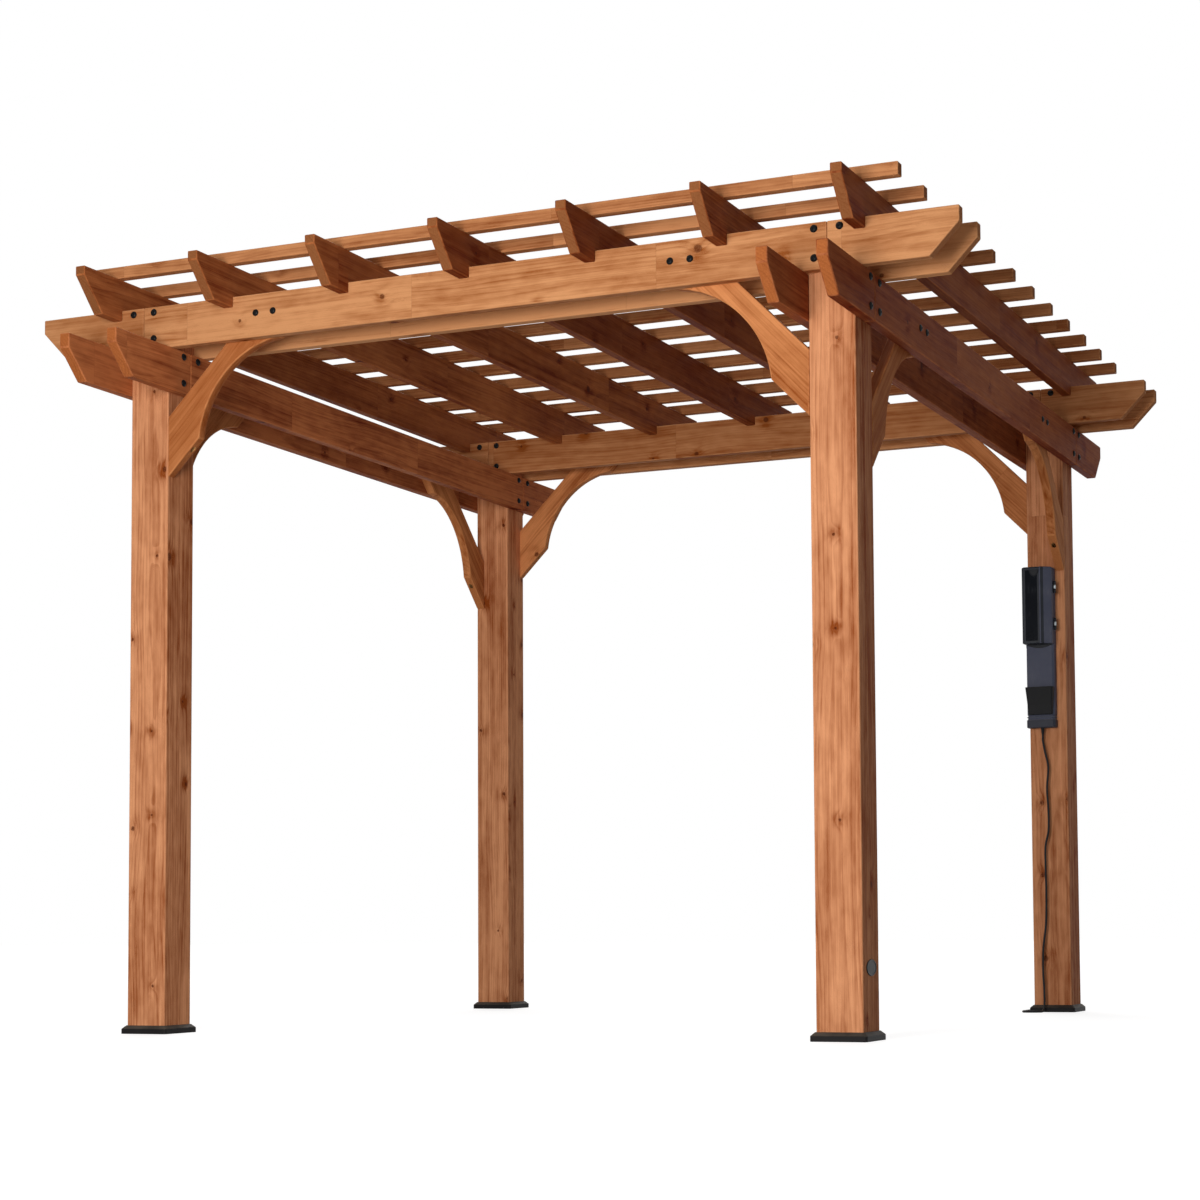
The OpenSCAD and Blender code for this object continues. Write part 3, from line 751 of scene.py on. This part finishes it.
pocket_r = 0.008
pocket_at = Vector((0.045, 0.72 * brace_knee - brace_tip, 0))
pockets = []
brace_wood = wood_material("brace wood", (208, 136, 84), (142, 72, 28), (186, 142, 88), ring_width=0.010,
                           joint_spacing=3.0)
# The front left x brace and the front right y brace are painted darker, as painted shade.
brace_shade_tones = {"brace_front_left_x": 0.4, "brace_front_right_y": 0.3}
for name in sorted(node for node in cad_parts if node.startswith("brace_")):
    low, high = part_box(name)
    middle = (low + high) / 2
    if name.endswith("_x"):
        way, beam_low, thick = X, top_low.z, high.y - low.y
    else:
        way, beam_low, thick = Y, side_low.z, high.x - low.x
    side = 1 if middle.dot(way) > 0 else -1
    at = middle + way * (side * (high - low).dot(way) / 2)
    place = frame_at((at.x, at.y, beam_low), -side * way, Z)
    bm = new_boards()
    add_board(bm, brace_outline(), thick, place, ease=0.004, turn=45, tone=brace_shade_tones.get(name, 0.0),
              curved=range(2, 2 + curve_steps), ends_show=False)
    piece = finish_boards(bm, name, brace_wood)
    drill = new_boards()
    for face in add_turned(drill, ((0, pocket_r), (brace_knee, pocket_r)), frame_at(pocket_at, X, Y),
                           smooth=False):
        face[drill.faces.layers.float["cut"]] = 1.0
    for v in drill.verts:
        v[drill.verts.layers.float_vector["grain"]] = v.co
        v.co = place @ v.co
    cut_away(piece, drill)
    pockets.append((place @ pocket_at, place.to_3x3() @ X))

# ---------------- Rafters
# Seven boards on edge, notched over both boards of each top beam, with a sloping cut at both ends.
rafter_nose, rafter_cut, notch_clear = 0.028, 0.092, 0.001
rafter_wood = wood_material("rafter wood", (178, 106, 60), (102, 35, 6), (146, 92, 54), joint_spacing=0.95)
beam_outside, beam_inside = -top_low.y, -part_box("top_beam_front_inner")[1].y
near, far = beam_outside + notch_clear, beam_inside - notch_clear
rafter_names = ["rafter_%d" % number for number in range(1, 8)]
# The rafters' tones paint them darker towards the right, most of all the fifth: painted shade.
for name, tone in zip(rafter_names, (0.0, 0.05, 0.07, 0.3, 0.5, 0.1, 0.3)):
    low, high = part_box(name)
    top, seat = high.z - low.z, top_high.z - low.z
    half = [(far, 0), (far, seat), (near, seat), (near, 0), (high.y - rafter_cut, 0),
            (high.y, top - rafter_nose), (high.y, top)]
    outline = [(-y, z) for y, z in reversed(half)] + half
    bm = new_boards()
    add_board(bm, outline, high.x - low.x, frame_at(((low.x + high.x) / 2, 0, low.z), Y, Z), tone=tone)
    finish_boards(bm, name, rafter_wood)

# ---------------- Slats
# Twelve square battens lie across the rafters, each held by a screw into every rafter.
slat_w, screw_proud = 0.035, 0.0004
slat_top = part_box("slats_front")[1].z - screw_proud
slat_wood = wood_material("slat wood", (204, 140, 92), (140, 78, 40), (150, 96, 64), ring_width=0.008,
                          joint_spacing=0.75)
slat_middles = []
# The middle and back slats are painted darker than the front ones: painted shade.
for name, tone in (("slats_front", 0.0), ("slats_middle", 0.12), ("slats_back", 0.2)):
    low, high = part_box(name)
    height = high.z - low.z - screw_proud
    bm = new_boards()
    for i in range(4):
        y = low.y + slat_w / 2 + i * (high.y - low.y - slat_w) / 3
        slat_middles.append(y)
        add_board(bm, oblong(low.x, high.x, -slat_w / 2, slat_w / 2), height,
                  frame_at((0, y, low.z + height / 2), X, Y), tone=tone)
    finish_boards(bm, name, slat_wood)

# ---------------- Bolts and screws
# Black coated steel bolts go right through each post and both boards beside it, four to a pair, with a low
# domed hexagon-socket head outside and a sleeve nut with the same head inside. Two more hold each brace's
# upper end.
bolt_black = metal_material("black bolt coating", (12, 12, 13), (44, 40, 37), 0.2, 0.26, 0.0, specular=0.1)
bolt_apart, bolt_heights = 0.076, (0.033, 0.116)
brace_bolts, brace_bolt_h, brace_bolt_l = (0.665, 0.727), 0.075, 0.068
# Distance out, radius, and whether the ring is a hexagon.
head_profile = ((0.0, 0.0110, 0), (0.0012, 0.0112, 0), (0.0020, 0.0108, 0), (0.0036, 0.0094, 0),
                (0.0050, 0.0074, 0), (0.0058, 0.0052, 0), (0.0060, 0.0046, 0), (0.0057, 0.0036, 1),
                (0.0026, 0.0034, 1), (0.0025, 0.0005, 1))


def add_head(bm, at, outward, size=1.0, sides=24):
    """A domed screw head whose socket is a hexagon."""
    place = frame_at(at, outward, Z if abs(Vector(outward).z) < 0.5 else X)
    rings = []
    for out_by, radius, hexagon in head_profile:
        ring = []
        for i in range(sides):
            angle = math.tau * i / sides
            r = radius * size
            if hexagon:
                r *= math.cos(math.pi / 6) / math.cos(angle % (math.pi / 3) - math.pi / 6)
            ring.append(place @ Vector((out_by * size, r * math.cos(angle), r * math.sin(angle))))
        rings.append(ring)
    add_rings(bm, rings)


for title, run, across_way, beam_low, post_at in (("bolts_top_beams", X, Y, top_low.z, post_x),
                                                  ("bolts_side_beams", Y, X, side_low.z, post_y)):
    bm = bmesh.new()
    for side, end in ((-1, -1), (-1, 1), (1, -1), (1, 1)):
        bolts = [(post_at + end * step * bolt_apart / 2, height, beam_inside, 1.0)
                 for height in bolt_heights for step in (-1, 1)]
        bolts += [(far_out, brace_bolt_h, beam_outside - brace_bolt_l, 0.95) for far_out in brace_bolts]
        for far_out, height, back, size in bolts:
            for depth, way in ((beam_outside, 1), (back, -1)):
                add_head(bm, run * (end * far_out) + across_way * (side * depth) + Z * (beam_low + height),
                         across_way * (side * way), size)
    new_piece(title, bm, [bolt_black])
bm = bmesh.new()
for at, outward in pockets:
    add_head(bm, at, outward, size=0.6)
new_piece("pocket_screws", bm, [bolt_black])

# Small countersunk wood screws hold each slat to each rafter from above. A notched ring makes the cross.
zinc = metal_material("zinc plating", (172, 160, 132), (120, 108, 88), 0.6, 0.35)
screw_profile = ((-0.0012, 0.0035, 0), (0.0, 0.0040, 0), (0.00035, 0.0038, 0), (0.0004, 0.0022, 0),
                 (0.0002, 0.0018, 0.45), (-0.0010, 0.0012, 0.45))
bm = bmesh.new()
for name in rafter_names:
    low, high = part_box(name)
    for y in slat_middles:
        at = Vector(((low.x + high.x) / 2, y, slat_top - 0.0002))
        add_rings(bm, [[at + Vector((u * (1 - notch * (i % 2)), v * (1 - notch * (i % 2)), out_by))
                        for i, (u, v) in enumerate(circle(radius, 8))]
                       for out_by, radius, notch in screw_profile], smooth=False)
new_piece("slat_screws", bm, [zinc])

# ---------------- Outlet unit
# A slim weatherproof outlet box in slate-coloured plastic, screwed to the front of the back right post. A
# smoked cover swings on two side hinges over two socket faces, a black tray hangs below, and the lead leaves
# at the foot.
unit_plastic = moulded_material("slate unit plastic", (71, 74, 90), (98, 100, 110), dust=0.2)
# The dark plastic also paints the arched shadow of the drip lip under the cover.
dark_plastic_and_shadow = moulded_material("dark unit plastic and shadow", (24, 25, 29), (46, 47, 52), roughness=0.42)
# The lighter ridge slate is a painted highlight on the ridge and on the base's top chamfer.
ridge_highlight_plastic = moulded_material("slate ridge painted highlight", (84, 88, 100), (110, 112, 122), 0.0009, 0.45, 0.2)
# The darker base slate is painted shade on the base below the ridge.
base_shade_plastic = moulded_material("slate base painted shade", (47, 49, 58), (74, 76, 84), 0.0009, 0.45, 0.2)
steel = metal_material("hinge steel", (140, 146, 148), (100, 102, 104), 0.4, 0.3)
unit_w, unit_d = 0.106, 0.036
housing_low, housing_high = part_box("outlet_housing")
unit_x0, unit_x1 = housing_low.x, housing_low.x + unit_w
unit_back = housing_high.y
unit_face = unit_back - unit_d
cover_low, cover_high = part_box("outlet_cover")


def unit_ring(z, inset, corner, x0=unit_x0, x1=unit_x1, front=unit_face, back=unit_back, steps=5, slope=0.0):
    """A level outline: square at the back, with round front corners or a slope at the right one."""
    x0, x1, front = x0 + inset, x1 - inset, front + inset
    points = [(x1, back), (x0, back)]
    for cx, start in ((x0 + corner, 180), (x1 - corner, 270)):
        for k in range(steps + 1):
            angle = math.radians(start + 90 * k / steps)
            points.append((cx + corner * math.cos(angle), front + corner + corner * math.sin(angle)))
    if slope:
        points[-steps - 1:] = [(x1 - slope - 0.001, front), (x1 - slope + 0.0005, front + 0.0004),
                               (x1 - 0.0004, front + slope - 0.0005), (x1, front + slope + 0.001)]
    return [Vector((x, y, z)) for x, y in points]


base_z, top_z = housing_low.z, housing_high.z
base_top, ridge_low, ridge_top = base_z + 0.031, base_z + 0.0362, base_z + 0.0400
# Height, how far the walls stand back, and the corner's radius.
stations = [(base_z, 0.0022, 0.004), (base_z + 0.0012, 0.0008, 0.005), (base_z + 0.0035, 0.0, 0.006),
            (base_top - 0.003, 0.0, 0.006), (base_top, 0.0032, 0.005), (ridge_low, 0.0038, 0.005),
            (ridge_low + 0.0006, 0.0008, 0.005), (ridge_top - 0.0012, 0.0, 0.006), (ridge_top, 0.0012, 0.006),
            (ridge_top + 0.0008, 0.0038, 0.005), (ridge_top + 0.0050, 0.0038, 0.005),
            (ridge_top + 0.0062, 0.0018, 0.006), (cover_low.z - 0.012, 0.0018, 0.006),
            (cover_low.z - 0.006, 0.0010, 0.006), (top_z - 0.004, 0.0010, 0.006),
            (top_z - 0.0012, 0.0018, 0.005), (top_z, 0.004, 0.004)]
bm = bmesh.new()
for face in add_rings(bm, [unit_ring(*station, slope=0.008) for station in stations], smooth=False):
    middle_z = face.calc_center_median().z
    # The ridge and the base's top chamfer take the lighter slate: a painted highlight.
    if base_top - 0.003 < middle_z < base_top or ridge_low < middle_z < ridge_top + 0.0004:
        face.material_index = 3
    # The base below takes the darker slate: painted shade.
    elif middle_z < base_top:
        face.material_index = 4

# The drip lip under the cover is a shallow raised crescent in dark plastic, which paints the arched shadow
# under the cover.
lip_x0, lip_x1, lip_top = unit_x0 + 0.006, unit_x1 - 0.006, cover_low.z + 0.004
lip_steps = 20
shadow_crescent = [(lip_x0 + (lip_x1 - lip_x0) * k / lip_steps,
             cover_low.z - 0.002 - 0.011 * math.sin(math.pi * k / lip_steps)) for k in range(lip_steps + 1)]
shadow_crescent += [(lip_x1, lip_top), (lip_x0, lip_top)]


def add_pad(bm, outline, middle, levels):
    """A raised pad with an upright outline, which shrinks about its middle at each level to the front."""
    add_rings(bm, [[Vector((middle[0] + (x - middle[0]) * share, y, middle[1] + (z - middle[1]) * share))
                    for x, z in outline] for y, share in levels], smooth=False, material=1)


add_pad(bm, shadow_crescent, ((lip_x0 + lip_x1) / 2, cover_low.z),
        ((unit_face + 0.003, 1.0), (unit_face - 0.0004, 1.0), (unit_face - 0.0010, 0.985)))

# Two fixed knuckles at each hinge, on a moulded block, and the pin through all three.
hinge_h, knuckle_r, hinge_gap = 0.044, 0.005, 0.0004
knuckle_h = (hinge_h - 2 * hinge_gap) / 3
hinge_x = housing_high.x - knuckle_r
hinge_heights = [cover_low.z + share * (cover_high.z - cover_low.z) for share in (0.26, 0.74)]
pin = [(0, 0.0004), (0.0001, 0.0022), (0.0009, 0.0026), (0.0014, 0.0018), (hinge_h - 0.0014, 0.0018),
       (hinge_h - 0.0009, 0.0026), (hinge_h - 0.0001, 0.0022), (hinge_h, 0.0004)]


def on_hinge(z):
    """A place on the hinge's axis, which runs upwards."""
    return frame_at((hinge_x, unit_face, z), Z, X)


def knuckle(bm, middle, material):
    """A hinge knuckle with eased ends."""
    add_turned(bm, [(0, knuckle_r - 0.0008), (0.0008, knuckle_r), (knuckle_h - 0.0008, knuckle_r),
                    (knuckle_h, knuckle_r - 0.0008)], on_hinge(middle - knuckle_h / 2), material=material)


def knuckle_block(bm, middle, front, back, material):
    """The moulded block that joins a knuckle to the wall beside it."""
    half = knuckle_h / 2
    left, right = unit_x1 - 0.002, hinge_x + 0.001
    ends = ((0.0003 - half, 0.0003), (0.0006 - half, 0), (half - 0.0006, 0), (half - 0.0003, 0.0003))
    add_rings(bm, [unit_ring(middle + z, inset, 0.0006, left, right, front, back, steps=2)
                   for z, inset in ends], smooth=False, material=material)


for z in hinge_heights:
    for middle in (z - knuckle_h - hinge_gap, z + knuckle_h + hinge_gap):
        knuckle(bm, middle, 1)
        knuckle_block(bm, middle, unit_face + 0.0008, unit_face + knuckle_r - 0.0004, 0)
    add_turned(bm, pin, on_hinge(z - hinge_h / 2), sides=16, material=2)
housing = new_piece("unit_housing", bm, [unit_plastic, dark_plastic_and_shadow, steel, ridge_highlight_plastic, base_shade_plastic])
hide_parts("outlet_housing")

# Two socket faces with two blade slots and a round earth hole each.
socket_plastic = moulded_material("socket plastic", (34, 34, 37), (58, 58, 62), 0.0007, 0.36, dust=0.05)
sockets_low, sockets_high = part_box("outlet_sockets")
socket_x = (sockets_low.x + sockets_high.x) / 2
socket_w, socket_h, socket_d = sockets_high.x - sockets_low.x, 0.066, sockets_high.y - sockets_low.y
face_levels = [(0.0, 0.0, 0.003), (0.45, 0.0, 0.003), (0.6, 0.0012, 0.003), (0.6, 0.0100, 0.012),
               (0.92, 0.0108, 0.013), (1.0, 0.0118, 0.013)]
holes = ((-0.0064, 0.006, 0.0018, 0.0084), (0.0064, 0.006, 0.0018, 0.0070), (0.0, -0.0085, 0.0050, 0.0056))
bm, slots = bmesh.new(), bmesh.new()
for z in (sockets_low.z + socket_h / 2, sockets_high.z - socket_h / 2):
    add_rings(bm, [[Vector((socket_x + x, sockets_high.y - out_by * socket_d, z + h)) for x, h in
                    rounded_box(socket_w - 2 * inset, socket_h - 2 * inset, corner)]
                   for out_by, inset, corner in face_levels], smooth=False)
    for x, h, wide, high in holes:
        add_rings(slots, [[Vector((socket_x + x + u, sockets_low.y + deep, z + h + v)) for u, v in
                           rounded_box(wide, high, wide * 0.3)] for deep in (-0.002, 0.0036)], smooth=False)
sockets = new_piece("socket_faces", bm, [socket_plastic])
cut_away(sockets, slots)
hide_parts("outlet_sockets")

# The cover is a thin smoked shell, open towards the box: a flat front, an upright rib, a slanting side
# towards the hinges, a half-round pull at the top, and two notches below for leads.
cover_plastic = moulded_material("cover plastic", (36, 39, 45), (58, 62, 70), roughness=0.4, dust=0.15)
smoked = moulded_material("smoked window", (12, 15, 22), (24, 28, 36), 0.004, 0.1, 0.05, 0.000003, 0.04)
cover_wall, rib_x, notch_w, notch_deep, cover_corner = 0.0026, 0.068, 0.026, 0.021, 0.007
cover_gap, facet_d = 0.0015, 0.020
cover_face, cover_back = cover_low.y, unit_face - cover_gap
rib_first = 7


def cover_line(inset):
    """The cover's level outline from its left back edge round the front to the right back edge."""
    x0, x1, y0 = unit_x0 + inset, unit_x1 - inset, cover_face + inset
    rib, facet = unit_x0 + rib_x, y0 + facet_d
    points = [(x0, cover_back)]
    for angle in (math.radians(18 * k) for k in range(6)):
        points.append((x0 + cover_corner * (1 - math.cos(angle)), y0 + cover_corner * (1 - math.sin(angle))))
    points += [(rib - 0.0034, y0 + 0.0022), (rib - 0.0024, y0 + 0.0004), (rib - 0.0008, y0),
               (rib + 0.0008, y0), (rib + 0.0024, y0 + 0.0004), (rib + 0.0036, y0 + 0.0030),
               (rib + 0.0110, y0 + 0.0072), (x1 - 0.004, facet - 0.001), (x1 - 0.001, facet + 0.001),
               (x1, facet + 0.004), (x1, cover_back)]
    return points


levels = [(cover_low.z, 0.003), (cover_low.z + 0.001, 0.001), (cover_low.z + 0.003, 0.0),
          (cover_high.z - 0.006, 0.0), (cover_high.z - 0.0025, 0.0012), (cover_high.z - 0.0006, 0.004),
          (cover_high.z, 0.0075)]
bm = bmesh.new()
strips = [[bm.verts.new((x, y, z)) for x, y in cover_line(inset)] for z, inset in levels]
for level, (a, b) in enumerate(zip(strips, strips[1:])):
    for i in range(len(a) - 1):
        face = bm.faces.new((a[i], a[i + 1], b[i + 1], b[i]))
        face.material_index = 4 if rib_first <= i < rib_first + 4 or i > rib_first + 5 else 0
        if level == 2 and i == rib_first - 1:
            window = face
bm.faces.new(strips[-1])
notches = []
for middle in (unit_x0 + unit_w * 0.7, unit_x0 + unit_w * 0.3):
    right, left = middle + notch_w / 2, middle - notch_w / 2
    notches += [(right, cover_back), (right, cover_back - notch_deep), (left, cover_back - notch_deep),
                (left, cover_back)]
bm.faces.new(list(reversed(strips[0] + [bm.verts.new((x, y, cover_low.z)) for x, y in notches])))
bmesh.ops.recalc_face_normals(bm, faces=bm.faces)
bmesh.ops.inset_individual(bm, faces=[window], thickness=0.009)
bmesh.ops.inset_individual(bm, faces=[window], thickness=0.0008, depth=-0.0012)
window.material_index = 3
shell = show(bpy.data.objects.new("cover_shell", to_mesh(bm, "cover_shell")))
wall = shell.modifiers.new("wall", "SOLIDIFY")
wall.thickness, wall.offset = cover_wall, -1
bm = bmesh.new()
bm.from_mesh(with_modifiers(shell))
bpy.data.objects.remove(shell)
pull_x, pull_r, pull_h = unit_x0 + 0.046, 0.018, 0.024
pull = [(pull_x + pull_r * math.cos(a), cover_high.z - 0.012 + pull_h * math.sin(a))
        for a in (math.radians(degrees) for degrees in range(180, 361, 15))]
add_pad(bm, pull, (pull_x, cover_high.z - 0.014), ((cover_face + 0.003, 1.0), (cover_face + 0.0010, 1.0),
                                                   (cover_face + 0.0002, 0.93), (cover_face + 0.0014, 0.80)))
for z in hinge_heights:
    knuckle_block(bm, z, unit_face - knuckle_r + 0.0002, unit_face - 0.0008, 1)
for z in hinge_heights:
    knuckle(bm, z, 2)
cover = new_piece("weather_cover", bm, [cover_plastic, dark_plastic_and_shadow, steel, smoked, unit_plastic], "cover")
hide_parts("outlet_cover")

# The tray is an open-topped pocket whose front and sides lean outwards.
tray_plastic = moulded_material("tray plastic", (13, 13, 14), (30, 30, 32), 0.0014, dust=0.15)
tray_low, tray_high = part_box("phone_tray")
tray_wall, tray_taper, foot_front = 0.003, 0.007, unit_face - 0.010
levels = []
for z, share, inset, corner in (
        (tray_low.z, 0.0, 0.002, 0.004), (tray_low.z + 0.002, 0.0, 0.0, 0.006),
        (tray_low.z + 0.035, 0.28, 0.0, 0.008), (tray_low.z + 0.070, 0.66, 0.0, 0.009),
        (tray_high.z - 0.0012, 1.0, 0.0, 0.010), (tray_high.z, 1.0, 0.0008, 0.009),
        (tray_high.z, 1.0, 0.0022, 0.008), (tray_high.z - 0.0012, 1.0, tray_wall, 0.007),
        (tray_low.z + 0.070, 0.66, tray_wall, 0.006), (tray_low.z + 0.035, 0.28, tray_wall, 0.005),
        (tray_low.z + 0.004, 0.02, tray_wall, 0.003)):
    side = tray_taper * (1 - share)
    levels.append(unit_ring(z, inset, corner, tray_low.x + side, tray_high.x - side,
                            foot_front + (tray_low.y - foot_front) * share,
                            unit_face - (0.002 if inset >= tray_wall else 0.0)))
bm = bmesh.new()
add_rings(bm, levels, smooth=False)
tray = new_piece("tray", bm, [tray_plastic])
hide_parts("phone_tray")

# ---------------- Oval plate
# A plain oval plate of black plastic, domed a little with a raised rim, pinned to the front right post.
plate_low, plate_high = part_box("oval_plate")
middle, half = (plate_low + plate_high) / 2, (plate_high - plate_low) / 2
bm = bmesh.new()
add_rings(bm, [[Vector((plate_low.x + 2 * half.x * out_by, middle.y + (half.y - inset) * y,
                        middle.z + (half.z - inset) * z)) for y, z in circle(1, 48)]
               for out_by, inset in ((0.0, 0.0), (0.55, 0.0), (0.85, 0.0005), (1.0, 0.0016), (1.0, 0.0034),
                                     (0.7, 0.0042), (0.62, 0.0060), (0.74, 0.0120), (0.82, 0.0185))])
plate_plastic = moulded_material("plate plastic", (23, 24, 26), (46, 47, 50), 0.001, 0.4)
plate = new_piece("plain_oval_plate", bm, [plate_plastic])
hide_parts("oval_plate")
